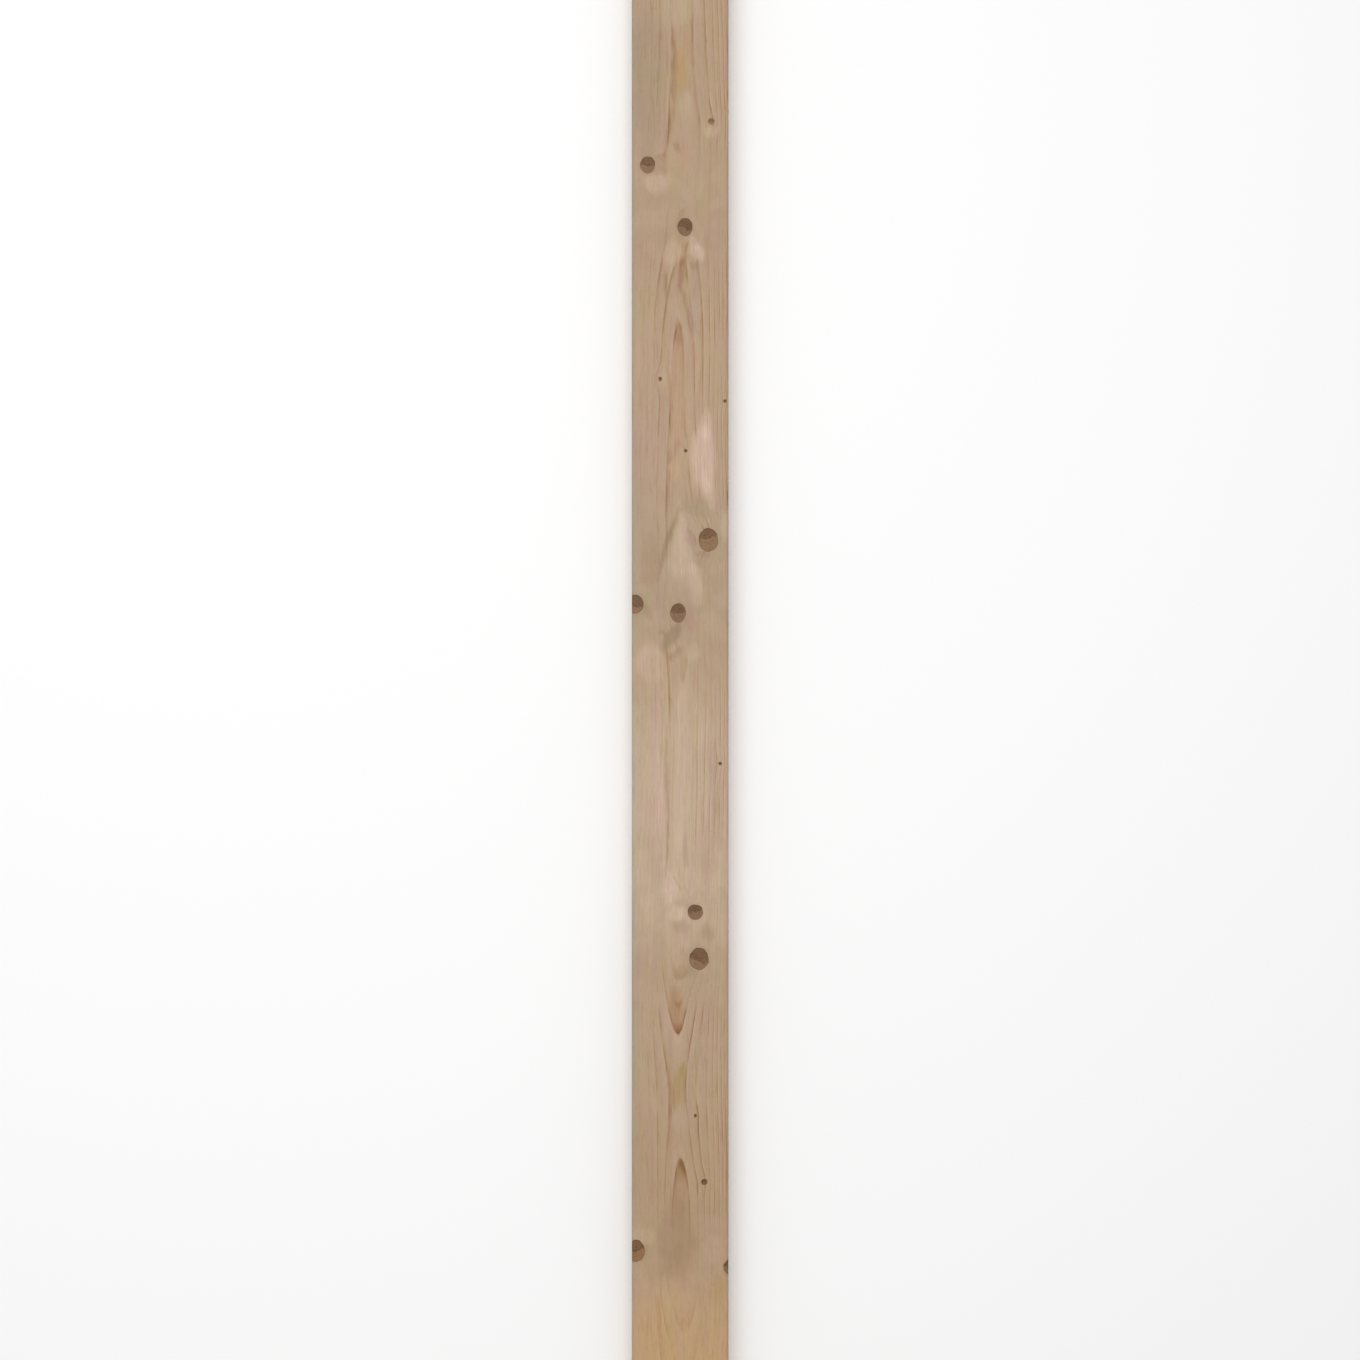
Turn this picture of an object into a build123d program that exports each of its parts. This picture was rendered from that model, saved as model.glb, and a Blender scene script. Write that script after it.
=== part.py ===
"""Planed softwood plank: one straight piece sawn and planed from a log.

The plank lies flat, with its knotty wide face up. Its origin is the centre of
the underside, +Y runs along the grain, +X across the wide face and +Z up.
Sizes are in millimetres.
"""

import os

from build123d import *

# Driving dimensions of the planed and trimmed stock.
PLANK_LENGTH = 2400.0  # between the two square saw cuts
PLANK_WIDTH = 140.0  # across the wide face
PLANK_THICKNESS = 38.0  # between the wide faces
ARRIS_RADIUS = 3.0  # of the rounding that the planer leaves on each long edge

with BuildPart() as plank:
    # The planed section stands on the underside, square to the grain.
    with BuildSketch(Plane.XZ) as section:
        with Locations((0, PLANK_THICKNESS / 2)):
            Rectangle(PLANK_WIDTH, PLANK_THICKNESS)
    extrude(amount=PLANK_LENGTH / 2, both=True)

    # The four arrises along the grain are rounded, and the cut ends stay sharp.
    long_edges = plank.edges().filter_by(Axis.Y)
    fillet(long_edges, radius=ARRIS_RADIUS)

plank.part.label = "plank"

os.makedirs("parts", exist_ok=True)
export_step(plank.part, "parts/plank.step")
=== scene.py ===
"""Finish of the planed softwood plank.

The plank is dressed as one solid piece of wood. Its growth rings stand round a
pith that runs below the underside, its knots are cones from that pith, and the
wide faces, the long edges and the cut ends all show the same solid where they
cut it. Places in the wood are in millimetres: x across the knotty face from
its middle, y along the grain from mid-length, and depth down from that face.
Colours are worked out as screen levels from 0 to 255 and turned to light last.
"""

from typing import NamedTuple

import bmesh
import bpy
import numpy as np
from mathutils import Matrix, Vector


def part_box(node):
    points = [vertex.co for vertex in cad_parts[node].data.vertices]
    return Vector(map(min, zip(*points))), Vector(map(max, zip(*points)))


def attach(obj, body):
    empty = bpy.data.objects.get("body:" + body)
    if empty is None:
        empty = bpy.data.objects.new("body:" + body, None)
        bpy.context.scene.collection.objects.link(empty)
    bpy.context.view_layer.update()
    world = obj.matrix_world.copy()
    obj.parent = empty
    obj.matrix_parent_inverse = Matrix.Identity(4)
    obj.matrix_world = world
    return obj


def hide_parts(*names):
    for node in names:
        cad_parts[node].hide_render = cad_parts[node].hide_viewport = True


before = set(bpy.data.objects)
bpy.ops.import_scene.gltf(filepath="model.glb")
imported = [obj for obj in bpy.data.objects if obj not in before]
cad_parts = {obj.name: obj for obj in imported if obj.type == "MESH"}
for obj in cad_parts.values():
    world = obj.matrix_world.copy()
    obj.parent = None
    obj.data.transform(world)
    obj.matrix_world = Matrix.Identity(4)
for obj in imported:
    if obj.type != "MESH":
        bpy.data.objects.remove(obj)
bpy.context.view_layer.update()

MM = 0.001
LOW, HIGH = (np.array(corner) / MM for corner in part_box("plank"))
WIDTH, LENGTH, THICKNESS = HIGH - LOW
ARRIS = 3.0  # radius of the planed rounding on each long edge

# The view is square on to the knotty face, as the photograph is.
PHOTO_SIDE = 1360  # pixels
PLANK_SIDES_IN_PHOTO = (631.83, 728.5)  # left and right, in its pixels
LENS = 150.0
SENSOR = 36.0


class Hump(NamedTuple):
    """A rise at one place along the plank, which fades as exp(-d^2), where d is the
    distance from y over reach."""

    y: float
    reach: float
    rise: float


# Growth rings.
RING = 2.66  # mm along a radius
PITH_DEPTH = 75.0  # mm below the knotty face, taken as the point of every knot
PITH_SWAY = 4.0  # mm that the pith bends to each side
PITH_WAVE = 870.0  # mm from one bend to the next on the same side
PITH_BEND = -60.0  # one of its bends to the right is here
RINGS_TO_FACE = 25.05  # from the pith to the middle of the knotty face
# Where the log swelled, its rings stand higher and close in points and ovals on the face.
SWELLS = [
    Hump(960, 330, 2.4), Hump(650, 120, 1.15), Hump(390, 130, 0.48), Hump(95, 70, -0.5),
    Hump(-370, 70, -0.5), Hump(-600, 125, 1.5), Hump(-1080, 190, 3.2),
]
SWELL_HALF_WIDTH = 38.0  # the swells show this far out from the pith
RINGS_MORE_AT_ENDS = 2.4
# Rings left and right of the pith lie this much closer than on a round log.
LEFT_SPREAD = 0.97
LEFT_SPREAD_HUMPS = [Hump(-750, 110, 0.06)]
RIGHT_SPREAD = 0.80
RIGHT_SPREAD_HUMPS = [Hump(930, 160, 0.1), Hump(500, 170, 0.25), Hump(-620, 180, 0.4)]
OUTER_SPREAD = 0.80  # both sides, beyond OUTER_FROM
OUTER_FROM = 26.0
SIDES_BLEND = 1.5  # mm from the left spread to the right one


class Waver(NamedTuple):
    """A slow unevenness: how high, the mm that its waves take across and along, and the
    number that its chance starts from."""

    high: float
    wide: float
    long: float
    seed: int


PITH_WAVERS = [Waver(1.1, 13, 58, 9), Waver(0.35, 5.8, 20, 10)]
# They nudge the borders of the patches across and along, the last one in fine fibres.
NUDGES_ACROSS = [Waver(1.9, 10, 17, 3), Waver(0.7, 3.6, 5.8, 13)]
NUDGES_ALONG = [Waver(3.8, 13, 13, 5), Waver(1.2, 4.3, 7.2, 15), Waver(1.9, 1.3, 40, 17)]
LINE_WAVERS = [Waver(0.35, 7.2, 65, 21)]  # as a share of the growth lines' strength
EDGE_WAVERS = [Waver(3, 40, 90, 25)]  # levels of shade on the long edges and the underside


class Knot(NamedTuple):
    """A knot where it meets the knotty face, or would meet it past the edge."""

    x: float
    y: float
    across: float  # half its width
    along: float  # half its height
    pull: float  # growth rings that bend out round it
    dark: float = 0.25
    warm: float = 0.0


PIN = 2.4  # half size of a pin knot
KNOTS = [
    # From the far end to the near one, first those as big as a thumb.
    Knot(-47, 746, 11, 12, pull=1.6, dark=0.3),
    Knot(7, 656, 11, 13, pull=0.7, dark=0.45),
    Knot(41, 203, 14, 17, pull=1.8, warm=0.3),
    Knot(-66, 110, 13, 14, pull=1.2, dark=0.3),
    Knot(-3, 97, 11, 14, pull=0.6, dark=0.38),
    Knot(22, -336, 11, 11, pull=0.8, dark=0.42),
    Knot(27, -404, 14, 16, pull=0.9, dark=0.3, warm=0.2),
    Knot(-65, -827, 14, 16, pull=1.5, warm=0.8),
    Knot(75, -850, 12, 12, pull=1.2, dark=0.45),
    # Small ones and pins.
    Knot(45, 809, 4.8, 4.4, pull=0.4, dark=0.15),
    Knot(35, -727, 4.5, 4.2, pull=0.4, dark=0.75),
    Knot(-29, 436, PIN, 3.2, pull=0.7, dark=0.55),
    Knot(65, 404, PIN, PIN, pull=0.4, dark=0.8),
    Knot(8, 332, PIN, PIN, pull=0.3, dark=0.8),
    Knot(58, -121, PIN, PIN, pull=0.4, dark=0.9),
    Knot(22, -631, 2.0, PIN, pull=0.2, dark=0.9),
]
RISE = 0.18  # a branch climbs this much for each mm it runs out from the pith
# The growth rings bend out over a knot's half sizes and this much more, in mm.
BEND_ACROSS = 4.4
BEND_ALONG = 8.7
FAR_FROM_KNOTS = 4.0  # in half sizes of a knot: farther off, the distance no longer counts
WHORLS = ((695, 75), (115, 115), (-345, 115), (-830, 70))  # y and reach of each row of branches
WHORL_FADES = 0.78  # the share of the growth lines that goes there


class Patch(NamedTuple):
    """A place on the knotty face that stands out, by its half sizes and how its colour
    strays: shade lightens it, rosy turns it to pink and golden to yellow, in levels. lines
    is the share by which its growth lines are stronger or weaker, lean the mm that it
    moves right for each mm along, and taper the share by which its far end is narrower
    and its near end wider."""

    x: float
    y: float
    across: float
    along: float
    shade: float = 0.0
    rosy: float = 0.0
    golden: float = 0.0
    lines: float = 0.0
    lean: float = 0.0
    taper: float = 0.0


EVERY = 300.0  # half width of a patch that takes in the whole face
PATCHES = [
    # Long stretches: dull at the far end, pale past mid-length, warm at the near end.
    Patch(0, 780, EVERY, 260, shade=-3),
    Patch(0, 160, EVERY, 110, shade=-3, rosy=-1, golden=-2),
    Patch(0, -200, EVERY, 180, shade=12, golden=-3, lines=-0.35),
    Patch(0, -740, EVERY, 130, shade=-4, rosy=1, golden=2),
    Patch(0, -1080, EVERY, 210, shade=4, rosy=3, golden=14, lines=-0.6),
    # The flame at the far end, with its golden inside.
    Patch(0, 970, 30, 26, shade=7, rosy=-2, golden=-1, lines=-0.7),
    Patch(-9, 885, 4, 48, shade=-16, rosy=5, golden=5, lines=0.5, taper=0.3),
    Patch(2, 884, 8, 34, shade=-3, rosy=3, golden=13, lines=-0.6, taper=-0.3),
    Patch(9, 925, 5, 16, shade=-4, rosy=3, golden=2, lines=-0.5),
    Patch(8, 832, 9, 22, shade=8, rosy=-2, golden=-1, lines=-0.5, taper=0.5),
    Patch(-15, 800, 4, 32, shade=-10, rosy=3, golden=2, lines=0.3, lean=0.2),
    Patch(-21, 860, 1.6, 75, shade=-9, rosy=1, golden=1),
    Patch(-5, 769, 5, 10, shade=-13, rosy=2, golden=4, lean=-0.4),
    Patch(4, 752, 11, 22, rosy=3, golden=4, lines=-0.5),
    Patch(-46, 870, 22, 110, shade=-8, rosy=-2, golden=-3, lines=-0.3),
    Patch(26, 850, 8, 150, lines=-0.7),
    # Pale places where the grain turns by the first knots.
    Patch(45, 794, 11, 11, shade=10, lines=-0.7),
    Patch(-36, 720, 19, 15, shade=9, rosy=2, golden=-2, lines=-0.8),
    Patch(18, 634, 9, 13, shade=12, rosy=1, golden=-2, lines=-1, lean=-0.5),
    Patch(26, 617, 14, 15, shade=17, rosy=1, golden=-2, lines=-1, lean=-0.4),
    Patch(-10, 620, 14, 19, shade=11, rosy=1, lines=-0.8, taper=0.2),
    # The fork below them and the tan tongue.
    Patch(19, 597, 7, 5, shade=-12, rosy=-1, lines=-0.5, lean=-0.5),
    Patch(2, 584, 3.4, 24, shade=-20, rosy=2, golden=6),
    Patch(4, 606, 3, 12, shade=-9, rosy=2, golden=3, lean=0.4),
    Patch(10, 538, 3, 34, shade=-13, rosy=2, golden=1, lean=-0.2),
    Patch(17, 512, 5, 16, shade=-7, rosy=4, golden=1),
    Patch(19, 548, 11, 50, rosy=1, golden=-3, lines=-0.7),
    Patch(20, 468, 3, 30, shade=-3, rosy=6, golden=4, lines=-0.5),
    Patch(-48, 350, 26, 150, shade=-1, rosy=2, golden=-2),
    Patch(-21, 572, 3.5, 22, shade=-16, rosy=2, golden=3),
    Patch(-25, 532, 2, 30, shade=-8, rosy=1, lean=0.12),
    Patch(-5, 505, 8, 18, shade=-10, golden=3, taper=0.6),
    Patch(-4, 415, 12, 88, shade=-1, rosy=3, golden=3, lines=-0.7),
    Patch(8, 430, 6, 90, lines=-0.7),
    Patch(15, 330, 6, 60, lines=-0.8),
    Patch(-15, 415, 2.6, 60, shade=-9, rosy=1, golden=1),
    # The big pale place above the largest knot, and what lies round that knot.
    Patch(33, 322, 19, 46, shade=22, rosy=4, golden=-4, lines=-1, taper=0.15),
    Patch(36, 372, 8, 22, shade=12, rosy=2, golden=-2, lines=-1, taper=0.4),
    Patch(43, 270, 9, 28, shade=14, rosy=1, golden=-2, lines=-1, lean=-0.15, taper=-0.4),
    Patch(-8, 303, 9, 20, shade=4, golden=5, lines=-0.6),
    Patch(-16, 320, 4, 14, shade=-12, rosy=2, lines=0.3),
    Patch(-18, 268, 3, 34, shade=-9, rosy=2, lean=0.08),
    Patch(26, 250, 22, 18, shade=-6, rosy=-2, golden=-1, lines=-1, lean=-0.5),
    Patch(64, 222, 7, 18, shade=10, rosy=-2, golden=-2, lines=-0.8),
    Patch(2, 190, 16, 50, shade=14, rosy=1, golden=-2, lines=-1, taper=0.75),
    Patch(20, 138, 9, 28, shade=11, rosy=2, golden=-1, lines=-1, lean=-0.1),
    Patch(13, 204, 9, 6, shade=-5, rosy=4, golden=-1, lines=-1, lean=-0.6),
    Patch(-3, 245, 4, 5, shade=-9, lean=0.8),
    Patch(-19, 195, 3.4, 44, shade=-17, rosy=1, golden=1, lean=0.27),
    Patch(-44, 172, 17, 40, shade=-7, rosy=2, lines=-0.4),
    Patch(32, 180, 11, 6, shade=-11, rosy=2, lines=-0.5, lean=-0.8),
    Patch(27, 165, 6, 5, shade=-6, lines=-0.5),
    # Blotches and a curl below the second row of knots.
    Patch(16, 82, 12, 14, shade=-3, rosy=5, golden=1, lines=-0.6),
    Patch(-45, 98, 8, 9, shade=-8, rosy=1, lines=-0.6),
    Patch(-13, 62, 10, 19, shade=-18, rosy=-1, golden=-1, lines=-0.7, lean=0.5),
    Patch(-25, 67, 6, 5, shade=-10, rosy=-1, lean=-0.6),
    Patch(-7, 38, 6, 10, shade=-13, rosy=1, lines=-0.6, lean=0.8),
    Patch(-20, 39, 7, 6, shade=-7, rosy=3, lean=-0.5),
    Patch(-44, 26, 22, 26, shade=11, rosy=2, golden=-2, lines=-0.8),
    Patch(18, 42, 13, 13, shade=8, rosy=-2, lines=-0.7),
    Patch(-1, 16, 9, 30, lines=-0.8),
    Patch(-17, -19, 3, 15, shade=-10, golden=2),
    # The rosy streak and the soft legs past mid-length.
    Patch(-26, -176, 4.4, 58, shade=9, rosy=6, golden=-4),
    Patch(-36, -120, 8, 110, rosy=4, golden=-3),
    Patch(-18, -160, 2, 120, shade=-13, rosy=2, golden=1),
    Patch(-16, -34, 4, 14, shade=-8, golden=4),
    Patch(25, -60, 8, 130, lines=-0.6),
    Patch(8, -248, 4, 30, shade=-11, rosy=2, lean=-0.05),
    Patch(35, -252, 16, 40, shade=-4, rosy=3, lines=-0.4),
    Patch(54, -160, 12, 90, shade=-7, rosy=2, golden=-1, lines=0.2),
    # Round the third row of knots.
    Patch(-15, -300, 15, 22, shade=10, rosy=2, golden=-2, lines=-0.7),
    Patch(-2, -295, 2, 13, shade=-12, rosy=1, golden=2, lean=-0.5),
    Patch(6, -321, 12, 7, shade=-8, lines=-0.6),
    Patch(-7, -339, 13, 12, shade=11, rosy=1, lines=-0.8),
    Patch(2, -358, 15, 9, shade=-10, rosy=2, lines=-0.6),
    Patch(40, -366, 9, 9, shade=-11, rosy=-1, golden=1, lines=-0.5),
    Patch(6, -384, 8, 9, shade=6, rosy=2, lines=-0.5),
    Patch(5, -426, 15, 13, shade=-9, rosy=1, golden=2, lines=-0.5),
    Patch(-6, -435, 7, 4, shade=-8),
    Patch(33, -424, 9, 4, shade=7, lines=-0.5),
    Patch(45, -450, 20, 26, lines=-0.5),
    Patch(17, -452, 10, 36, lines=-0.7),
    # The arrowheads and the golden waist between them.
    Patch(-7, -474, 11, 26, shade=-14, rosy=4, golden=9, lines=0.2, taper=-0.5),
    Patch(-15, -600, 4, 95, shade=-2, lines=0.5),
    Patch(11, -600, 4, 95, shade=-2, lines=0.5),
    Patch(-1, -591, 9, 32, shade=-8, rosy=-2, golden=10, lean=0.12),
    Patch(4, -566, 3, 14, shade=-9, rosy=-2, golden=5, lean=0.1),
    Patch(-9, -604, 3, 20, shade=-10, golden=5, lean=-0.06),
    Patch(0, -636, 14, 24, shade=4, golden=-3, lines=-0.3),
    Patch(0, -712, 6, 19, shade=-14, rosy=-2, golden=4, lines=0.2, taper=0.5),
    Patch(-1, -748, 13, 26, shade=-6, rosy=1, golden=2, lines=-0.4, taper=0.3),
    Patch(-4, -812, 27, 58, shade=-11, rosy=1, golden=1, lines=-0.6),
    Patch(-53, -802, 18, 16, shade=8, lines=-0.7),
    Patch(47, -822, 18, 20, shade=7, rosy=1, lines=-0.7),
    Patch(55, -879, 12, 20, shade=-6, golden=6, lines=-0.5),
    Patch(0, -900, 32, 60, lines=-0.4),
    Patch(3, -926, 6, 3, shade=-6, golden=8),
    Patch(-27, -930, 1.8, 55, shade=-9, rosy=2, golden=3, lean=-0.08),
    Patch(-11, -978, 3, 10, golden=12),
]

# Strength of the growth lines, where 1 is the middle of the knotty face.
LEFT_LINES = 0.13
LEFT_THIRD = -33.0  # it ends here
RIGHT_LINES = 0.75
RIGHT_THIRD = 29.0  # it starts here
THIRDS_BLEND = 6.0
HIDDEN_LINES = 0.6  # on the long edges and the underside


def along_the_plank(y, base, humps):
    """base plus the sum of the humps at y."""
    return base + sum(h.rise * np.exp(-(((y - h.y) / h.reach) ** 2)) for h in humps)


def waves(x, y, seed):
    """Unevenness about one high: six sine waves of unlike heading and phase added up,
    each 4 to 9 of the given units long."""
    chance = np.random.default_rng(seed)
    total = np.zeros_like(x)
    for _ in range(6):
        heading, phase = chance.uniform(0, 2 * np.pi, 2)
        turns = chance.uniform(0.7, 1.6)
        total += np.sin((np.cos(heading) * x + np.sin(heading) * y) * turns + phase)
    return total / np.sqrt(6)


def wavering(x, y, wavers):
    """The sum of each waver's height times its own waves."""
    return sum(w.high * waves(x / w.wide, y / w.long, w.seed) for w in wavers)


def step_up(value, start, end):
    """0 up to start, 1 from end on, and the smooth S 3t^2 - 2t^3 between them."""
    t = np.clip((value - start) / (end - start), 0, 1)
    return t * t * (3 - 2 * t)


def step_at(value, middle, blend):
    """0 well before middle, 1 well after it: 1 / (1 + exp(-d)), d in steps of blend."""
    return 1 / (1 + np.exp(-(value - middle) / blend))


def on_knotty_face(x, y, depth):
    """The place on the knotty face on the same line out from the pith, rising as branches
    do, and the share of the way out to that face that the given place lies at."""
    share = (PITH_DEPTH - depth) / PITH_DEPTH
    return x / share, y + RISE * depth, share


def nearest_knot(x, y, depth):
    """For each place, its offset across and along from the nearest knot in half sizes of
    that knot and the knot's half size in mm; the distance in half sizes; the knot's kind
    (dark, warm, a number of its own); and how many rings all the knots push it out. Each
    knot is a cone from the pith, so it is narrower and nearer the middle deeper down."""
    face_x, face_y, share = on_knotty_face(x, y, depth)
    nearest = np.full_like(x, np.inf)
    place, kind, pull = np.zeros((len(x), 3)), np.zeros((len(x), 3)), np.zeros_like(x)
    for number, knot in enumerate(KNOTS):
        across = (face_x - knot.x) / knot.across
        along = (face_y - knot.y) / (share * knot.along)
        reach_x = (face_x - knot.x) / (knot.across + BEND_ACROSS)
        reach_y = (face_y - knot.y) / (share * (knot.along + BEND_ALONG))
        pull += knot.pull * np.exp(-(reach_x ** 2 + reach_y ** 2) / 2)
        away = np.hypot(across, along)
        nearer = away < nearest
        nearest = np.where(nearer, away, nearest)
        here = np.stack([across, along, knot.across * share], axis=1)
        place = np.where(nearer[:, None], here, place)
        kind = np.where(nearer[:, None], (knot.dark, knot.warm, number), kind)
    return place, np.minimum(nearest, FAR_FROM_KNOTS), kind, pull


def growth(x, y, depth, pull):
    """The ring number and the wood's own coordinates (round the log, along it, out from
    the pith) in mm. The ring number is the distance from the pith over the ring width,
    with the sideways distance narrowed by the local spread, less the pull of the knots."""
    side = x - PITH_SWAY * np.cos(2 * np.pi * (y - PITH_BEND) / PITH_WAVE)
    side += wavering(x, y, PITH_WAVERS)
    face_side = side * PITH_DEPTH / (PITH_DEPTH - depth)
    slow = RINGS_TO_FACE + RINGS_MORE_AT_ENDS * (y / (LENGTH / 2)) ** 2
    swelled = along_the_plank(y, RINGS_TO_FACE, SWELLS)
    rings = slow + (swelled - slow) * np.exp(-((face_side / SWELL_HALF_WIDTH) ** 4))
    left = along_the_plank(y, LEFT_SPREAD, LEFT_SPREAD_HUMPS)
    right = along_the_plank(y, RIGHT_SPREAD, RIGHT_SPREAD_HUMPS)
    spread = left + (right - left) * step_at(side, 0, SIDES_BLEND)
    inner = np.exp(-((face_side / OUTER_FROM) ** 2))
    side = side * (OUTER_SPREAD + (spread - OUTER_SPREAD) * inner)
    below = rings * RING - depth
    out = np.hypot(side, below) / RING - pull
    round_log = np.arctan2(side, below) * PITH_DEPTH
    return out, np.stack([round_log, y, out * RING], axis=-1)


def turned_grain(face_y):
    """How far the grain is turned by the nearest row of branches: exp(-d^3), where d is
    the distance along over the row's reach."""
    return np.max([np.exp(-(np.abs((face_y - y) / reach) ** 3)) for y, reach in WHORLS], axis=0)


def wood_tone(x, y, depth):
    """The stray of the wood's colour from BASE_WOOD (shade, rosy, golden) in levels, the
    strength of its growth lines, and how far its grain is turned. Each patch counts by
    exp(-q^3), where q is the squared distance from its middle in half sizes, at a place
    nudged by slow waves, so it is even inside and its border is quite sharp."""
    face_x, face_y, _ = on_knotty_face(x, y, depth)
    nudged_x = face_x + wavering(face_x, face_y, NUDGES_ACROSS)
    nudged_y = face_y + wavering(face_x, face_y, NUDGES_ALONG)
    turned = turned_grain(face_y)
    lines = LEFT_LINES + (1 - LEFT_LINES) * step_at(face_x, LEFT_THIRD, THIRDS_BLEND)
    lines *= 1 - (1 - RIGHT_LINES) * step_at(face_x, RIGHT_THIRD, THIRDS_BLEND)
    lines *= 1 - WHORL_FADES * turned
    tone = np.zeros((len(x), 3))
    shown = 1 - 0.5 * step_up(depth, 4, 30)
    for patch in PATCHES:
        along = (nudged_y - patch.y) / patch.along
        half_width = patch.across * (1 - patch.taper * np.clip(along, -1, 1))
        across = (nudged_x - patch.x - patch.lean * (face_y - patch.y)) / half_width
        weight = shown * np.exp(-((across ** 2 + along ** 2) ** 3))
        tone += weight[:, None] * (patch.shade, patch.rosy, patch.golden)
        lines += weight * (lines * min(patch.lines, 0.0) + max(patch.lines, 0.0))
    lines += (HIDDEN_LINES - lines) * step_up(depth, 2, 14)
    lines *= 1 + wavering(face_x, face_y, LINE_WAVERS)
    tone[:, 0] += step_up(depth, 4, 14) * wavering(face_x, face_y, EDGE_WAVERS)
    # The arris bands added here are a painted reflection and painted shade, not the wood's own colour.
    return tone + arris_painted_light(x, depth), np.maximum(lines, 0.0), turned


# Painted light on the arrises: a bluish-grey painted reflection along the left one and painted shade
# along the right one. Each has the width of its band in mm, and how its colour strays (shade, rosy,
# golden) in levels.
PAINTED_REFLECTION_WIDTH = 5.0
PAINTED_REFLECTION_TONE = (-5, -5, -11)
PAINTED_SHADE_WIDTH = 3.0
PAINTED_SHADE_TONE = (-9, 0, -7)
ARRIS_PAINTED_LIGHT_FADES = 0.85  # the share of both that goes down the long edges


def arris_painted_light(x, depth):
    """The painted light on the arrises, a bluish-grey painted reflection on the left and painted shade
    on the right: exp(-d^2), where d is the distance from the plank's side over the band's width. It
    fades down the edges."""
    fades = 1 - ARRIS_PAINTED_LIGHT_FADES * step_up(depth, 1, 12)
    # Painted reflection on the left arris, painted shade on the right one.
    reflected = (fades * np.exp(-(((x + WIDTH / 2) / PAINTED_REFLECTION_WIDTH) ** 2)))[:, None]
    shaded = (fades * np.exp(-(((x - WIDTH / 2) / PAINTED_SHADE_WIDTH) ** 2)))[:, None]
    return reflected * PAINTED_REFLECTION_TONE + shaded * PAINTED_SHADE_TONE


# The plank's skin.
COLUMNS = 56  # across each wide face
EDGE_COLUMNS = 8
ARC_COLUMNS = 4
ROW = 4.4  # mm between rows of the mesh, and closer by the knots
ROW_BY_KNOT = 2.8
CLOSER_ROUND_KNOT = 15  # mm before and after a knot where the rows lie closer
EASE = 0.4  # the saw cuts' edges are rubbed down by this much
END_STEPS = 9
KNOT_DISH = 0.16  # mm that the planer leaves each knot lower
TOUCHING = 1e-6  # metres
SHARP_FROM = 40.0  # degrees between faces


def section_outline():
    """Walks clockwise round the planed section from the top left, seen from the near end:
    four straight sides, each followed by a quarter circle. Returns x and height from the
    middle of the section, the outward direction, and the length walked."""
    flat = np.array([WIDTH / 2 - ARRIS, THICKNESS / 2 - ARRIS])
    points, outward = [], []
    sides = [(COLUMNS, (-1, 1), (1, 1), 90), (EDGE_COLUMNS, (1, 1), (1, -1), 0),
             (COLUMNS, (1, -1), (-1, -1), -90), (EDGE_COLUMNS, (-1, -1), (-1, 1), 180)]
    for count, start, end, facing in sides:
        face = np.array([np.cos(np.radians(facing)), np.sin(np.radians(facing))])
        along = np.linspace(0, 1, count, endpoint=False)[:, None]
        points.append(flat * start + ARRIS * face + along * (flat * end - flat * start))
        outward.append(np.tile(face, (count, 1)))
        turn = np.radians(facing - np.linspace(0, 90, ARC_COLUMNS, endpoint=False))
        turned = np.stack([np.cos(turn), np.sin(turn)], axis=1)
        points.append(flat * end + ARRIS * turned)
        outward.append(turned)
    points, outward = np.concatenate(points), np.concatenate(outward)
    walked = np.linalg.norm(np.roll(points, -1, axis=0) - points, axis=1).cumsum()
    return points, outward, np.concatenate([[0.0], walked])


def row_places():
    """Places of the mesh's rows along the plank. The gap between rows eases from ROW down
    to ROW_BY_KNOT by each knot, and the rows are spaced by the running sum of 1 / gap."""
    y = np.linspace(-LENGTH / 2, LENGTH / 2, 4001)
    by_knots = [np.exp(-(((y - k.y) / (k.along + CLOSER_ROUND_KNOT)) ** 2)) for k in KNOTS]
    near = np.max(by_knots, axis=0)
    count = np.cumsum(1 / (ROW - (ROW - ROW_BY_KNOT) * near)) * (y[1] - y[0])
    rows = np.interp(np.arange(1, int(count[-1])), count, y)
    inner = rows[np.abs(rows) < LENGTH / 2 - 2 * ROW_BY_KNOT]
    eased = LENGTH / 2 - EASE * np.array([3.0, 1.0])
    return np.sort(np.concatenate([inner[np.abs(inner) > 1], [0.0], eased, -eased]))


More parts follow.
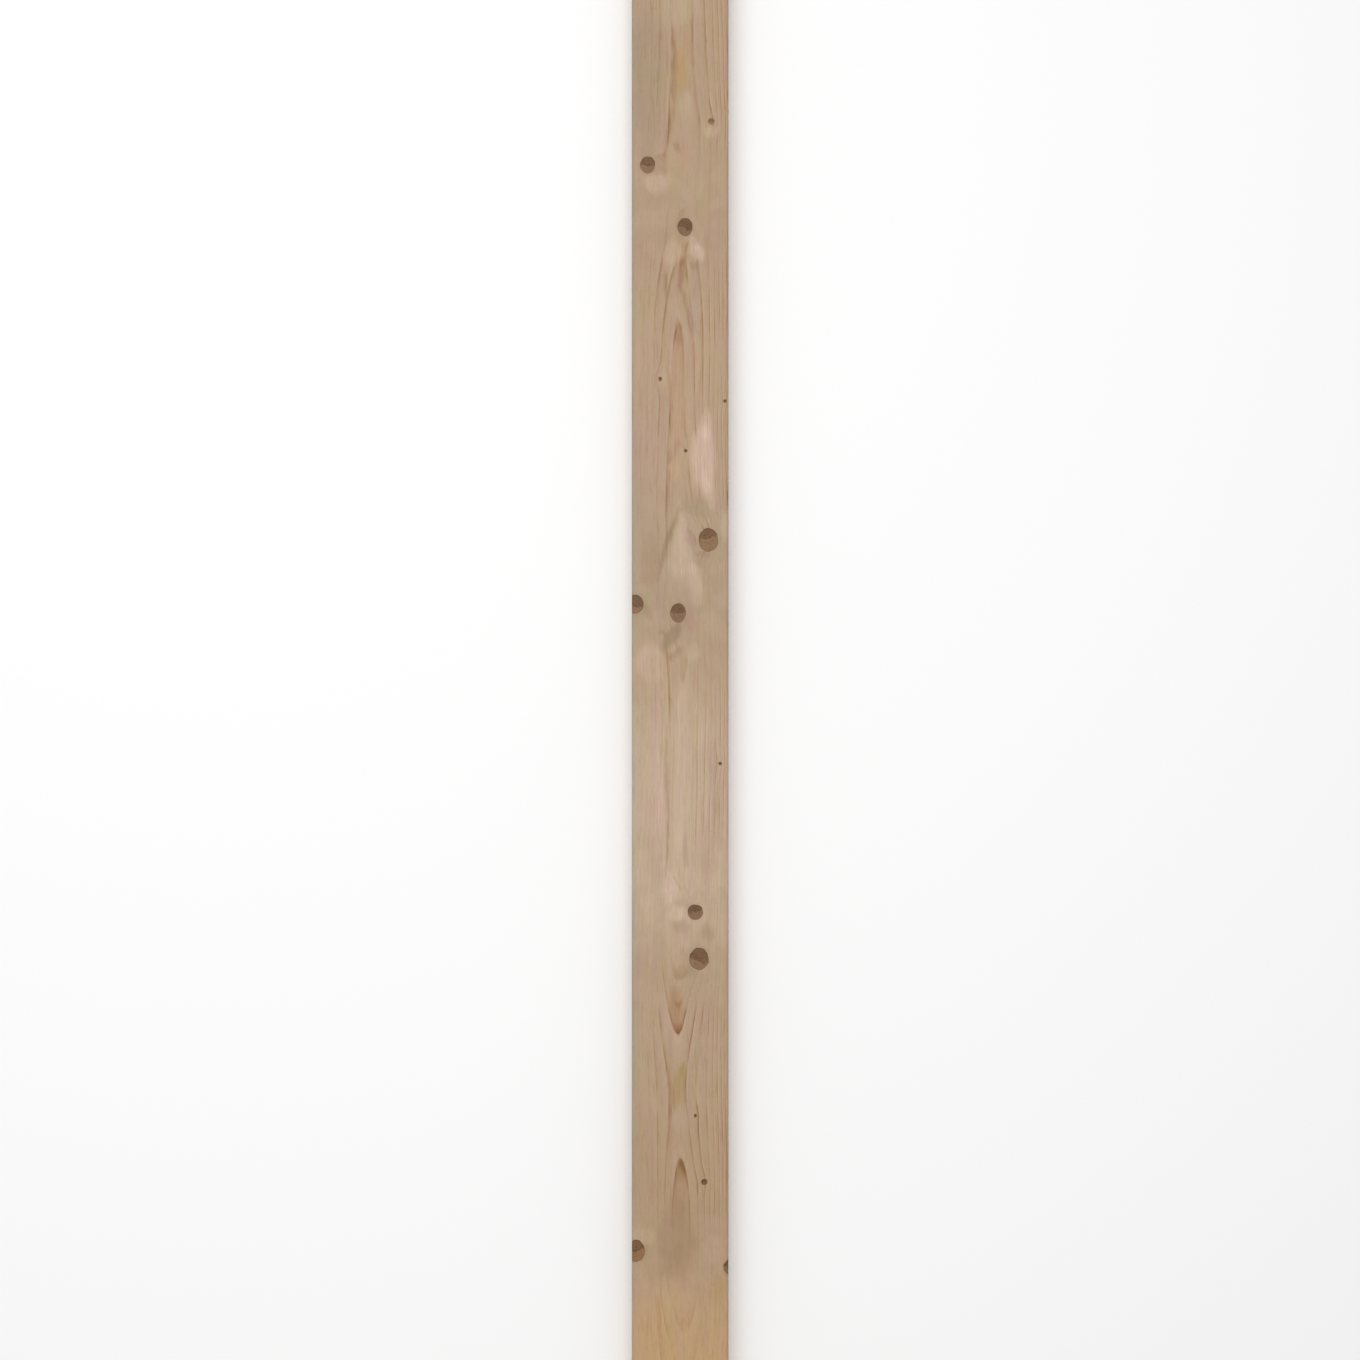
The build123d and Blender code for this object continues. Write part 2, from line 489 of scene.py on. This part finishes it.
def build_plank():
    """The plank's mesh: the planed section carried along the rows, the eased edge of each
    saw cut, and each cut end closed by the section shrinking onto its own middle line."""
    outline, outward, walked = section_outline()
    rows = row_places()
    turn = np.radians([45.0, 90.0])
    inset = EASE * (1 - np.cos(turn))
    beyond = EASE * np.sin(turn)
    y = np.concatenate([-(LENGTH / 2 - EASE + beyond[::-1]), rows, LENGTH / 2 - EASE + beyond])
    inward = np.concatenate([inset[::-1], np.zeros(len(rows)), inset])
    skin = np.empty((len(y), len(outline), 3))
    skin[:, :, 0::2] = outline[None] - inward[:, None, None] * outward[None]
    skin[:, :, 1] = y[:, None]
    flat_skin = skin.reshape(-1, 3)
    _, away, _, _ = nearest_knot(flat_skin[:, 0], flat_skin[:, 1], THICKNESS / 2 - flat_skin[:, 2])
    dish = KNOT_DISH * np.exp(-(away ** 4)).reshape(len(y), -1)
    skin[:, :, 0::2] -= dish[:, :, None] * outward[None]

    middle = np.stack([np.clip(outline[:, 0], -(WIDTH - THICKNESS) / 2, (WIDTH - THICKNESS) / 2),
                       np.zeros(len(outline))], axis=1)
    shrink = np.linspace(0, 1, END_STEPS + 1)[1:, None, None]
    grids = [skin]
    for last in (skin[0], skin[-1]):
        cap = np.empty((END_STEPS, len(outline), 3))
        cap[:, :, 0::2] = last[None, :, 0::2] * (1 - shrink) + middle[None] * shrink
        cap[:, :, 1] = last[0, 1]
        grids.append(cap)
    places = np.concatenate([grid.reshape(-1, 3) for grid in grids])
    places[:, 2] += THICKNESS / 2

    around = len(outline)
    ids = np.arange(len(places)).reshape(-1, around)
    body = ids[: len(y)]
    near = np.concatenate([body[:1], ids[len(y): len(y) + END_STEPS]])
    far = np.concatenate([body[-1:], ids[len(y) + END_STEPS:]])
    faces, slots = [], []
    for grid, flipped, slot in ((body, False, 0), (near, True, 1), (far, False, 1)):
        a, b = grid[:-1], grid[1:]
        quads = np.stack([np.roll(a, -1, 1), np.roll(b, -1, 1), b, a], axis=-1)
        if flipped:
            quads = quads[..., ::-1]
        faces.append(quads.reshape(-1, 4))
        slots.append(np.full(len(faces[-1]), slot))
    faces, slots = np.concatenate(faces), np.concatenate(slots)
    return places, faces, slots, bake_layout(places, faces, y, walked, around)


def bake_layout(places, faces, y, walked, around):
    """Lays the skin out flat: the plank's two halves side by side, each unrolled round its
    section, with the length along v, and the two cut ends beside them."""
    margin = 0.008
    half_share = 0.44
    quads = len(y) - 1
    row = np.repeat(np.arange(quads), around)
    col = np.tile(np.arange(around), quads)
    corner_rows = np.stack([row, row + 1, row + 1, row], axis=1)
    corner_cols = np.stack([col + 1, col + 1, col, col], axis=1)
    far_half = (y[row] >= 0)[:, None]
    v = np.where(far_half, y[corner_rows], -y[corner_rows]) / (LENGTH / 2)
    u = walked[corner_cols] / walked[-1]
    skin_uv = np.stack([margin + (half_share - margin) * u + half_share * far_half,
                        margin + (1 - 2 * margin) * v], axis=-1)
    at = places[faces[len(row):]]
    end = at[..., 1] > 0
    u = 2 * half_share + margin + (1 - 2 * half_share - 2 * margin) * at[..., 2] / THICKNESS
    v = 0.5 * end + margin + (0.5 - 2 * margin) * (at[..., 0] / WIDTH + 0.5)
    cap_uv = np.stack([u, v], axis=-1)
    return np.concatenate([skin_uv.reshape(-1, 2), cap_uv.reshape(-1, 2)])


def put_attribute(mesh, name, values):
    kind = "FLOAT" if values.ndim == 1 else "FLOAT_VECTOR"
    made = mesh.attributes.new(name, kind, "POINT")
    made.data.foreach_set("value" if kind == "FLOAT" else "vector", values.astype(np.float32).ravel())


def close_middle_lines(mesh):
    """Joins the points of each cut end that meet on its middle line."""
    work = bmesh.new()
    work.from_mesh(mesh)
    ends = [p for p in work.verts if abs(p.co.y) > LENGTH / 2 * MM - TOUCHING]
    bmesh.ops.remove_doubles(work, verts=ends, dist=TOUCHING)
    work.to_mesh(mesh)
    work.free()


def plank_mesh():
    """The plank's mesh with all that its materials read, as attributes of its points."""
    places, faces, slots, uv = build_plank()
    x, y, depth = places[:, 0], places[:, 1], THICKNESS - places[:, 2]
    knot_place, away, kind, pull = nearest_knot(x, y, depth)
    rings, grain = growth(x, y, depth, pull)
    tone, lines, turned = wood_tone(x, y, depth)

    mesh = bpy.data.meshes.new("plank_wood")
    mesh.from_pydata((places * MM).tolist(), [], faces.tolist())
    mesh.polygons.foreach_set("material_index", slots.astype(np.int32))
    mesh.uv_layers.new(name="OFBake").uv.foreach_set("vector", uv.astype(np.float32).ravel())
    named = {"growth_ring": rings, "grain": grain, "knot_place": knot_place, "knot_away": away,
             "knot_kind": kind, "wood_tone": tone, "line_strength": lines, "turned_grain": turned}
    for name, values in named.items():
        put_attribute(mesh, name, values)
    close_middle_lines(mesh)
    mesh.shade_smooth()
    mesh.set_sharp_from_angle(angle=np.radians(SHARP_FROM))
    return mesh


class Graph:
    """One node tree in the making. What its methods are given is a number, a colour or an
    output of a node made before, which they join."""

    def __init__(self, tree):
        self.tree = tree

    def put(self, socket, value):
        if isinstance(value, bpy.types.NodeSocket):
            self.tree.links.new(value, socket)
        else:
            socket.default_value = value

    def add(self, kind, inputs=None, **settings):
        node = self.tree.nodes.new("ShaderNode" + kind)
        for name, value in settings.items():
            setattr(node, name, value)
        for name, value in (inputs or {}).items():
            self.put(node.inputs[name], value)
        return node

    def math(self, operation, *values, clamp=False):
        node = self.add("Math", operation=operation, use_clamp=clamp)
        for socket, value in zip(node.inputs, values):
            self.put(socket, value)
        return node.outputs[0]

    def sum(self, first, *terms):
        """first plus each term, where a term (value, by) counts as value times by and a
        term (value, by, about) as (value - about) times by."""
        for value, by, *about in terms:
            if about:
                value = self.math("SUBTRACT", value, about[0])
            first = self.math("MULTIPLY_ADD", value, by, first)
        return first

    def times(self, *values):
        total = values[0]
        for value in values[1:]:
            total = self.math("MULTIPLY", total, value)
        return total

    def vector(self, operation, *values):
        node = self.add("VectorMath", operation=operation)
        for socket, value in zip(node.inputs, values):
            self.put(socket, value)
        return node.outputs["Value" if operation in ("LENGTH", "DOT_PRODUCT") else "Vector"]

    def ease(self, value, start, end, low=0.0, high=1.0):
        """low before start, high after end and a smooth S between them."""
        node = self.add("MapRange", interpolation_type="SMOOTHSTEP")
        for socket, given in zip(node.inputs, (value, start, end, low, high)):
            self.put(socket, given)
        return node.outputs[0]

    def within(self, value, full, none):
        """1 while value is closer to 0 than full, on either side, and 0 past none."""
        return self.ease(self.math("ABSOLUTE", value), full, none, 1.0, 0.0)

    def blend(self, share, first, second):
        """first where share is 0 and second where it is 1, for colours and vectors."""
        node = self.add("Mix", data_type="VECTOR")
        for number, given in ((0, share), (4, first), (5, second)):
            self.put(node.inputs[number], given)
        return node.outputs[1]

    def shift(self, levels, amount, towards):
        """levels plus amount times towards."""
        return self.vector("MULTIPLY_ADD", self.join(amount, amount, amount), towards, levels)

    def parts(self, vector):
        return self.add("SeparateXYZ", {"Vector": vector}).outputs

    def join(self, x, y, z):
        return self.add("CombineXYZ", {"X": x, "Y": y, "Z": z}).outputs[0]

    def noise(self, vector, detail=2.0, rough=0.5, scale=1.0):
        given = {"Vector": vector, "Scale": scale, "Detail": detail, "Roughness": rough}
        return self.add("TexNoise", given).outputs["Fac"]

    def attribute(self, name, output="Fac"):
        return self.add("Attribute", attribute_name=name).outputs[output]

    def use(self, group, inputs=None):
        node = self.add("Group", node_tree=group)
        for name, value in (inputs or {}).items():
            self.put(node.inputs[name], value)
        return node.outputs


def new_group(name, takes, gives):
    """A named node group. takes is {input: its plain value}, and gives lists the outputs,
    which are numbers, or a colour where the name is Colour. Returns the group, its graph,
    its inputs by name and its outputs."""
    tree = bpy.data.node_groups.new(name, "ShaderNodeTree")
    for label, value in takes.items():
        kind = "NodeSocketVector" if isinstance(value, tuple) else "NodeSocketFloat"
        tree.interface.new_socket(label, in_out="INPUT", socket_type=kind).default_value = value
    for label in gives:
        kind = "NodeSocketColor" if label == "Colour" else "NodeSocketFloat"
        tree.interface.new_socket(label, in_out="OUTPUT", socket_type=kind)
    entry = tree.nodes.new("NodeGroupInput").outputs
    return tree, Graph(tree), entry, tree.nodes.new("NodeGroupOutput").inputs


def growth_ring_group():
    """One ring from its inner to its outer edge: Warm Wood swells through it, Latewood is
    the dark line that it ends in, and Early Edge the pale start of the next ring out. The
    line stops short. Each ring also gets a number of its own from 0 to 1, and where that
    is high a False Line, thin and faint, halfway through, as after a check in growth."""
    tree, g, given, out = new_group(
        "growth rings", {"Ring": 0.0},
        ["Warm Wood", "Latewood", "Early Edge", "False Line", "Ring Chance"])
    through = g.math("FRACT", given["Ring"])
    stop = g.ease(through, 0.95, 1.0, 1.0, 0.0)
    g.put(out["Warm Wood"], g.times(g.ease(through, 0.2, 0.9), stop))
    g.put(out["Latewood"], g.times(g.math("POWER", g.ease(through, 0.62, 0.97), 2.0), stop))
    start = g.ease(through, 0.0, 0.04)
    g.put(out["Early Edge"], g.times(start, g.ease(through, 0.04, 0.22, 1.0, 0.0)))
    chance = g.add("TexWhiteNoise", {"W": g.math("FLOOR", given["Ring"])}, noise_dimensions="1D")
    chance = chance.outputs["Value"]
    halfway = g.within(g.math("SUBTRACT", through, 0.5), 0.0, 0.09)
    g.put(out["False Line"], g.times(halfway, g.ease(chance, 0.4, 0.7)))
    g.put(out["Ring Chance"], chance)
    return tree


def fibre_group():
    """Streaks that run with the grain: noise in the wood's own coordinates, stretched
    along the plank, as broad and as long as asked in mm, from 0 to 1 about one half."""
    tree, g, given, out = new_group(
        "wood fibres", {"Grain": (0.0, 0.0, 0.0), "Width": 1.0, "Length": 60.0, "Detail": 2.0},
        ["Streak"])
    fine, long = (g.math("DIVIDE", 1.0, given[side]) for side in ("Width", "Length"))
    place = g.vector("MULTIPLY", given["Grain"], g.join(fine, long, fine))
    g.put(out["Streak"], g.noise(place, detail=given["Detail"], rough=0.55))
    return tree


def knot_group():
    """What a knot shows: Body is its disc, with a slightly uneven outline; Dark its shade,
    deepest in the upper half and at the rim, with a few dark bars across; Check a short
    ragged crack where the halves meet; and Beside the wood close round it. Place is given
    in half sizes of the knot, whose half size in mm is the third part. Away shuts the knot
    off where the nearest knot changes."""
    tree, g, given, out = new_group(
        "knot", {"Place": (9.0, 9.0, 5.0), "Away": 4.0, "Kind": (0.3, 0.0, 0.0)},
        ["Body", "Dark", "Check", "Beside"])
    u, v, size = g.parts(given["Place"])
    dark, _, own = g.parts(given["Kind"])
    uneven = g.noise(g.join(g.sum(u, (own, 7.3)), g.sum(v, (own, 3.1)), own), scale=1.5)
    ragged = g.noise(g.join(g.sum(g.times(u, 2.2), (own, 5.7)), g.times(v, 7.0), own), detail=3.0)
    away = g.sum(g.vector("LENGTH", g.join(u, v, 0.0)), (uneven, 0.26, 0.5))
    soft = g.math("DIVIDE", 0.6, size)
    body = g.ease(away, g.math("SUBTRACT", 1.0, soft), g.math("ADD", 1.0, soft), 1.0, 0.0)
    here = g.ease(given["Away"], 1.5, 1.8, 1.0, 0.0)
    g.put(out["Body"], g.times(body, here))

    rim = g.ease(away, 0.87, 0.96)
    turn = g.math("SINE", g.times(own, 2.4))
    turned = g.times(turn, u)
    across_middle = g.sum(v, (uneven, 0.6, 0.5), (ragged, 0.15, 0.5), (turn, 0.18), (turned, 0.3))
    upper = g.ease(across_middle, -0.14, 0.1)
    bars = g.times(g.ease(ragged, 0.52, 0.62), g.within(u, 0.6, 0.9), g.within(v, 0.4, 0.75))
    year_rings = g.math("SINE", g.times(away, size, 3.0))
    rim_shade = g.times(rim, g.sum(0.6, (upper, 0.4)))
    shade = g.sum(dark, (upper, 0.42), (rim_shade, 0.4), (bars, 0.24), (year_rings, 0.09))
    shade = g.sum(shade, (uneven, 0.4, 0.5), (ragged, 0.3, 0.5))
    g.put(out["Dark"], g.math("ADD", shade, -0.12, clamp=True))

    big = g.ease(size, 6.0, 10.0)
    middle = g.within(g.math("ADD", across_middle, 0.02), 0.01, 0.06)
    g.put(out["Check"], g.times(middle, g.within(u, 0.3, 0.75), big))
    g.put(out["Beside"], g.times(g.ease(away, 1.0, 1.6, 1.0, 0.0), here))
    return tree


SCREEN_GAMMA = 2.235


def levels_group():
    """Turns screen levels from 0 to 255 into the colour that shows as them in white light."""
    tree, g, given, out = new_group("levels to colour", {"Levels": (128.0, 128.0, 128.0)}, ["Colour"])
    share = g.vector("MULTIPLY", given["Levels"], (1 / 255,) * 3)
    g.put(out["Colour"], g.add("Gamma", {"Color": share, "Gamma": SCREEN_GAMMA}).outputs[0])
    return tree


GROWTH_RINGS = growth_ring_group()
FIBRES = fibre_group()
KNOT = knot_group()
LEVELS = levels_group()

# Colours, and the ways in which they stray, in screen levels.
BASE_WOOD = (178, 152, 125)
END_WOOD = (170, 138, 105)
KNOT_LIGHT = (143, 112, 84)
KNOT_DARK = (95, 65, 40)
CRACK = (70, 46, 28)
LIGHTER = (1.0, 1.0, 1.0)
ROSIER = (0.5, -0.5, 0.2)
MORE_GOLDEN = (0.3, 0.0, -1.0)
BROWN_LINE = (-0.72, -1.0, -1.12)
OLIVE_LINE = (-0.95, -0.92, -1.3)


def knot_levels(g, levels, grain_streak):
    """The given colour with the knots over it, and the knots' own mask."""
    place = g.attribute("knot_place", "Vector")
    kind = g.attribute("knot_kind", "Vector")
    knot = g.use(KNOT, {"Place": place, "Away": g.attribute("knot_away"), "Kind": kind})
    warm = g.times(g.parts(kind)[1], g.math("SUBTRACT", 1.0, g.times(knot["Dark"], 0.5)))
    own = g.blend(knot["Dark"], KNOT_LIGHT, KNOT_DARK)
    own = g.shift(own, g.times(warm, 14.0), MORE_GOLDEN)
    own = g.blend(g.times(knot["Check"], 0.6), own, CRACK)
    own = g.shift(own, g.sum(0.0, (grain_streak, 14.0, 0.5)), LIGHTER)
    levels = g.shift(levels, g.times(knot["Beside"], -5.0), BROWN_LINE)
    levels = g.shift(levels, g.times(knot["Beside"], -9.0), LIGHTER)
    return g.blend(knot["Body"], levels, own), knot["Body"]


def planed_softwood():
    """Long grain, planed: growth rings, streaks and short flecks along the grain, soft places where the
    grain is turned with a sheen painted into the colour, lighter and darker, and knots."""
    material = bpy.data.materials.new("planed_softwood")
    material.use_nodes = True
    g = Graph(material.node_tree)
    shader = material.node_tree.nodes["Principled BSDF"]
    grain = g.attribute("grain", "Vector")
    lines = g.attribute("line_strength")
    turned = g.attribute("turned_grain")
    shade, rosy, golden = g.parts(g.attribute("wood_tone", "Vector"))

    def streak(width, length, detail=2.0):
        given = {"Grain": grain, "Width": width, "Length": length, "Detail": detail}
        return g.use(FIBRES, given)["Streak"]

    wide = streak(7.0, 190.0)
    thin = streak(1.5, 110.0, detail=3.0)
    fine = streak(0.35, 24.0, detail=3.0)
    short = streak(0.45, 8.0, detail=1.0)
    cloud = streak(17.0, 36.0)
    stain = streak(15.0, 75.0, detail=2.5)
    curl = streak(20.0, 31.0, detail=0.6)
    broken = streak(8.0, 60.0)
    dashes = streak(2.4, 38.0, detail=1.0)
    # Painted sheen: where the grain is turned, soft places are painted lighter or darker in the base
    # colour, as the light would catch them.
    painted_sheen = g.times(g.ease(curl, 0.41, 0.59, -0.5, 0.5), g.sum(0.1, (turned, 0.9)))
    fleck = g.ease(short, 0.62, 0.74)
    dash = g.times(g.ease(dashes, 0.58, 0.7), g.sum(1.0, (turned, -0.7)))
    lines = g.times(lines, g.ease(broken, 0.36, 0.6, 0.25, 1.4))

    rings = g.use(GROWTH_RINGS, {"Ring": g.sum(g.attribute("growth_ring"), (thin, 0.05, 0.5))})
    chance = rings["Ring Chance"]
    warm = g.times(rings["Warm Wood"], lines)
    late = g.sum(rings["Latewood"], (rings["False Line"], 0.4))
    late = g.times(late, lines, g.sum(0.7, (chance, 0.6)))
    early = g.times(rings["Early Edge"], lines)
    streaky = g.sum(1.0, (thin, 1.0, 0.5), (fine, 1.2, 0.5))
    # The painted sheen is added to the shade here.
    shade = g.sum(g.times(shade, streaky), (early, 4.0), (warm, -4.0), (wide, 10.0, 0.5), (painted_sheen, 4.0))
    shade = g.sum(shade, (thin, 12.0, 0.5), (fine, 22.0, 0.5), (cloud, 7.0, 0.5))
    shade = g.sum(shade, (g.times(chance, lines), 4.0))
    rosy = g.sum(rosy, (warm, 1.5), (stain, 13.0, 0.5))
    golden = g.sum(g.times(golden, streaky), (warm, 2.0), (g.sum(wide, (stain, -1.0)), 8.0))
    levels = g.shift(BASE_WOOD, shade, LIGHTER)
    levels = g.shift(levels, rosy, ROSIER)
    levels = g.shift(levels, golden, MORE_GOLDEN)
    line_colour = g.blend(g.ease(wide, 0.44, 0.64), BROWN_LINE, OLIVE_LINE)
    levels = g.shift(levels, g.sum(g.times(late, 27.0), (fleck, 12.0), (dash, 7.0)), line_colour)
    levels, knot_body = knot_levels(g, levels, thin)

    g.put(shader.inputs["Base Color"], g.use(LEVELS, {"Levels": levels})["Colour"])
    gloss = g.sum(0.56, (late, -0.06), (knot_body, -0.08), (fine, 0.12, 0.5))
    g.put(shader.inputs["Roughness"], gloss)
    shader.inputs["Specular IOR Level"].default_value = 0.3
    height = g.sum(g.times(fine, 0.6), (thin, 0.5), (late, 0.5), (fleck, -0.4))
    bump = g.add("Bump", {"Height": height, "Strength": 0.25, "Distance": 0.0002})
    g.put(shader.inputs["Normal"], bump.outputs[0])
    return material


CRACK_STEP = 13.0  # mm round the log: each step may hold one drying crack
CRACK_SHARE = 0.4  # of the steps that do
CRACK_HALF_WIDTH = 0.018  # of a step, where a crack is widest
CRACK_SOFT_EDGE = 0.004  # of a step
FIRST_CRACK = 38.0  # mm out from the pith, where the innermost cracks start
CRACK_STARTS = 45.0  # mm more over which they start
SHORTEST_CRACK = 8.0  # mm
CRACK_LONGER_BY = 22.0  # mm, up to


def drying_crack_group():
    """Drying cracks of a cut end, along the rays. Round the log, each step of CRACK_STEP
    has a chance place, start and length out from the pith, and its crack is as wide as
    4t(1 - t), where t is the share of that length, and wavers a little."""
    tree, g, given, out = new_group("drying cracks", {"Grain": (0.0, 0.0, 0.0)}, ["Crack"])
    round_log, along, outward = g.parts(given["Grain"])
    turns = g.math("DIVIDE", round_log, CRACK_STEP)
    step = g.math("FLOOR", turns)
    chance = g.add("TexWhiteNoise", {"Vector": g.join(step, g.math("SIGN", along), 4.0)})
    place, start, length = g.parts(chance.outputs["Color"])
    waver = g.noise(g.join(g.times(outward, 0.3), step, 0.0))
    aside = g.sum(g.math("FRACT", turns), (place, 0.5), (waver, 0.1))
    aside = g.math("SUBTRACT", aside, 0.8)
    beyond_start = g.sum(outward, (start, -CRACK_STARTS), (1.0, -FIRST_CRACK))
    t = g.math("DIVIDE", beyond_start, g.sum(SHORTEST_CRACK, (length, CRACK_LONGER_BY)))
    wide = g.math("MULTIPLY", g.times(t, 4.0), g.math("SUBTRACT", 1.0, t), clamp=True)
    limit = g.times(wide, CRACK_HALF_WIDTH)
    outer = g.math("ADD", limit, CRACK_SOFT_EDGE)
    line = g.ease(g.math("ABSOLUTE", aside), g.times(limit, 0.4), outer, 1.0, 0.0)
    held = g.math("LESS_THAN", chance.outputs["Value"], CRACK_SHARE)
    g.put(out["Crack"], g.times(line, g.ease(wide, 0.0, 0.25), held))
    return tree


def sawn_end_grain():
    """A cut end: the same rings seen end on, darker and rougher, with fine rays from the
    pith, a few short drying cracks along them and the saw's slanting scratches."""
    material = bpy.data.materials.new("sawn_end_grain")
    material.use_nodes = True
    g = Graph(material.node_tree)
    shader = material.node_tree.nodes["Principled BSDF"]
    grain = g.attribute("grain", "Vector")
    round_log, _, out = g.parts(grain)
    x, _, z = g.parts(g.add("TexCoord").outputs["Object"])
    rays = g.noise(g.join(g.times(round_log, 2.2), g.times(out, 0.12), 0.0))
    cloud = g.noise(g.join(g.times(x, 60.0), g.times(z, 60.0), 3.0), detail=3.0)
    slant = g.sum(g.times(z, 900.0), (x, 260.0))
    scratch = g.noise(g.join(slant, g.times(x, 12.0), 0.0))
    pores = g.noise(g.join(g.times(x, 1500.0), g.times(z, 1500.0), 0.0), detail=1.0)
    crack = g.use(drying_crack_group(), {"Grain": grain})["Crack"]

    rings = g.use(GROWTH_RINGS, {"Ring": g.sum(g.attribute("growth_ring"), (rays, 0.06, 0.5))})
    shade = g.sum(0.0, (rings["Warm Wood"], -5.0), (rings["Ring Chance"], 7.0, 0.5))
    shade = g.sum(shade, (rays, 10.0, 0.5), (scratch, 14.0, 0.5), (cloud, 20.0, 0.5), (pores, 8.0, 0.5))
    levels = g.shift(END_WOOD, shade, LIGHTER)
    levels = g.shift(levels, g.times(rings["Latewood"], 24.0), BROWN_LINE)
    levels = g.blend(g.times(crack, 0.8), levels, CRACK)
    levels, _ = knot_levels(g, levels, rays)
    g.put(shader.inputs["Base Color"], g.use(LEVELS, {"Levels": levels})["Colour"])
    shader.inputs["Roughness"].default_value = 0.8
    shader.inputs["Specular IOR Level"].default_value = 0.2
    height = g.sum(scratch, (pores, 0.3), (rings["Latewood"], 0.4), (crack, -2.0))
    bump = g.add("Bump", {"Height": height, "Strength": 0.5, "Distance": 0.0003})
    g.put(shader.inputs["Normal"], bump.outputs[0])
    return material


def plank_piece():
    mesh = plank_mesh()
    mesh.materials.append(planed_softwood())
    mesh.materials.append(sawn_end_grain())
    piece = bpy.data.objects.new("plank_wood", mesh)
    bpy.context.scene.collection.objects.link(piece)
    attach(piece, "root")
    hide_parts("plank")


# The room: a pale floor, a broad soft lamp overhead and an even white surround.
FLOOR_SIDE = 14.0  # metres
FLOOR_WHITE = 0.975
SURROUND = 0.66
LAMP_SIDE = 4.0
LAMP_PLACE = (-0.6, 0.8, 3.2)
LAMP_TILT = (-0.24, -0.18, 0.0)
LAMP_WATTS = 60.0


def studio():
    half = FLOOR_SIDE / 2
    corners = [(-half, -half, 0), (half, -half, 0), (half, half, 0), (-half, half, 0)]
    mesh = bpy.data.meshes.new("floor")
    mesh.from_pydata(corners, [], [(0, 1, 2, 3)])
    pale = bpy.data.materials.new("pale_floor")
    pale.use_nodes = True
    painted = pale.node_tree.nodes["Principled BSDF"].inputs
    painted["Base Color"].default_value = (FLOOR_WHITE, FLOOR_WHITE, FLOOR_WHITE, 1.0)
    painted["Roughness"].default_value = 0.9
    mesh.materials.append(pale)
    floor = bpy.data.objects.new("floor", mesh)
    bpy.context.scene.collection.objects.link(floor)

    world = bpy.data.worlds.new("surround")
    world.use_nodes = True
    world.node_tree.nodes["Background"].inputs["Color"].default_value = (1, 1, 1, 1)
    world.node_tree.nodes["Background"].inputs["Strength"].default_value = SURROUND
    bpy.context.scene.world = world

    lamp = bpy.data.lights.new("softbox", "AREA")
    lamp.shape, lamp.size, lamp.energy = "SQUARE", LAMP_SIDE, LAMP_WATTS
    held = bpy.data.objects.new("softbox", lamp)
    held.location = LAMP_PLACE
    held.rotation_euler = LAMP_TILT
    bpy.context.scene.collection.objects.link(held)


def view():
    """Square on to the knotty face, from as far as the lens needs to frame the photograph."""
    left, right = PLANK_SIDES_IN_PHOTO
    pixel = WIDTH * MM / (right - left)
    camera = bpy.data.cameras.new("view")
    camera.lens, camera.sensor_width, camera.sensor_height = LENS, SENSOR, SENSOR
    camera.sensor_fit = "AUTO"
    camera.clip_end = 100.0
    held = bpy.data.objects.new("view", camera)
    away = PHOTO_SIDE * pixel * LENS / SENSOR
    held.location = ((PHOTO_SIDE - left - right) / 2 * pixel, 0.0, HIGH[2] * MM + away)
    bpy.context.scene.collection.objects.link(held)
    bpy.context.scene.camera = held
    bpy.context.scene.view_settings.view_transform = "Standard"


view()
studio()
plank_piece()
